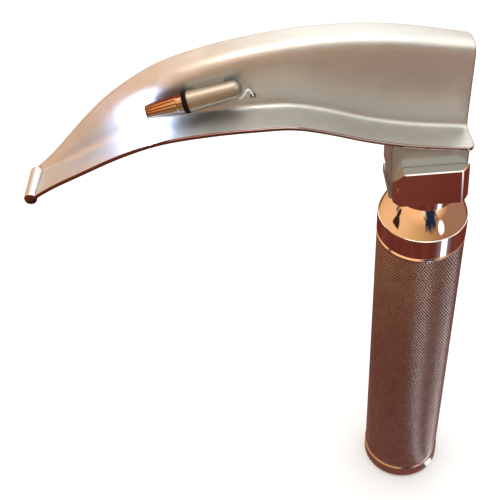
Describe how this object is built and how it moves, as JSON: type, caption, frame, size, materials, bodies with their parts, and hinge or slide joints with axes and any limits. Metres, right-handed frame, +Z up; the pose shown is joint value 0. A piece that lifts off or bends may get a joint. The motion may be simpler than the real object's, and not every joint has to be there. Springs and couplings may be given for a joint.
{
  "type": "laryngoscope",
  "caption": "Hook-on laryngoscope: knurled battery handle with a forked head and a curved flanged blade that folds and carries a lamp.",
  "frame": {"origin": "centre of the bottom cap's underside", "axes": "+Z up the handle's axis; the blade points to -X when it is locked on; its open side with the lamp faces -Y and its flange +Y"},
  "size_m": [0.1349, 0.029, 0.1976],
  "materials": {
    "knurled_chrome": "diamond-knurled chromed brass",
    "polished_chrome": "polished chrome",
    "pin_steel": "ground stainless pin",
    "nylon": "natural nylon",
    "contact_brass": "turned brass contact",
    "spring_steel": "drawn spring wire",
    "cell_jacket": "printed-film cell jacket, plain",
    "cell_steel": "nickel-plated steel",
    "cap_chrome": "chromed brass, satin turned",
    "seal_rubber": "black nitrile",
    "satin_steel": "satin stainless steel",
    "base_steel": "milled stainless steel",
    "ball_steel": "polished steel ball",
    "lead_insulation": "white lead insulation",
    "socket_steel": "turned stainless socket",
    "lamp_nickel": "nickel-plated brass shell",
    "lamp_glass": "clear bulb glass",
    "filament": "tungsten",
    "bead_glass": "sealing glass",
    "solder": "solder"
  },
  "bodies": {
    "handle": {"handle_tube": "knurled_chrome", "handle_head": "polished_chrome", "hinge_pin": "pin_steel", "handle_contact_insulator": "nylon", "handle_contact_spring": "spring_steel", "handle_contact_terminal": "contact_brass", "battery_lower": "cell_jacket", "battery_upper": "cell_jacket", "battery_positive_caps": "cell_steel"},
    "contact_plunger": {"handle_contact_plunger": "contact_brass"},
    "cap_thread_travel": {"cap_o_ring": "seal_rubber"},
    "cap": {"bottom_cap": "cap_chrome", "battery_spring": "spring_steel"},
    "blade": {"blade": "satin_steel", "blade_base": "base_steel", "blade_contact_insulator": "nylon", "blade_contact_button": "contact_brass", "detent_spring": "spring_steel", "wire_conduit": "satin_steel", "lamp_lead": "lead_insulation", "lamp_socket": "socket_steel", "socket_bracket": "satin_steel", "socket_contact": "contact_brass", "socket_insulator": "nylon"},
    "detent_left": {"detent_ball_left": "ball_steel"},
    "detent_right": {"detent_ball_right": "ball_steel"},
    "lamp_thread_travel": {"lamp_gasket": "seal_rubber"},
    "lamp": {"lamp_shell": "lamp_nickel", "lamp_glass": "lamp_glass", "lamp_filament": "filament", "lamp_insulator": "bead_glass", "lamp_centre_contact": "solder"}
  },
  "joints": [
    {"name": "blade_fold", "type": "hinge", "parent": "handle", "child": "blade", "pos_m": [-0.0087, 0, 0.1525], "axis": [0, -1, 0], "range_deg": [0, 89]},
    {"name": "contact_travel", "type": "slide", "parent": "handle", "child": "contact_plunger", "axis": [0, 0, -1], "range_m": [0, 0.001], "stiffness_N_per_m": 800, "springref_m": -0.001, "deforming": ["handle_contact_spring"]},
    {"name": "cap_slide", "type": "slide", "parent": "handle", "child": "cap_thread_travel", "axis": [0, 0, -1], "range_m": [0, 0.0075]},
    {"name": "cap_turn", "type": "hinge", "parent": "cap_thread_travel", "child": "cap", "pos_m": [0, 0, 0], "axis": [0, 0, 1], "range_deg": [0, 1800]},
    {"name": "detent_left_slide", "type": "slide", "parent": "blade", "child": "detent_left", "axis": [0, -1, 0], "range_m": [0, 0.00035]},
    {"name": "detent_right_slide", "type": "slide", "parent": "blade", "child": "detent_right", "axis": [0, 1, 0], "range_m": [0, 0.00035]},
    {"name": "lamp_slide", "type": "slide", "parent": "blade", "child": "lamp_thread_travel", "axis": [-0.9748, 0, -0.2233], "range_m": [0, 0.003]},
    {"name": "lamp_turn", "type": "hinge", "parent": "lamp_thread_travel", "child": "lamp", "pos_m": [-0.0557, 0.0016, 0.1869], "axis": [-0.9748, 0, -0.2233], "range_deg": [0, 1800]}
  ],
  "couplings": [
    {"joint": "cap_slide", "follows": "cap_turn", "m_per_rad": 0.00023873},
    {"joint": "lamp_turn", "follows": "lamp_slide", "rad_per_m": 10472},
    {"joint": "detent_right_slide", "follows": "detent_left_slide", "ratio": 1}
  ]
}
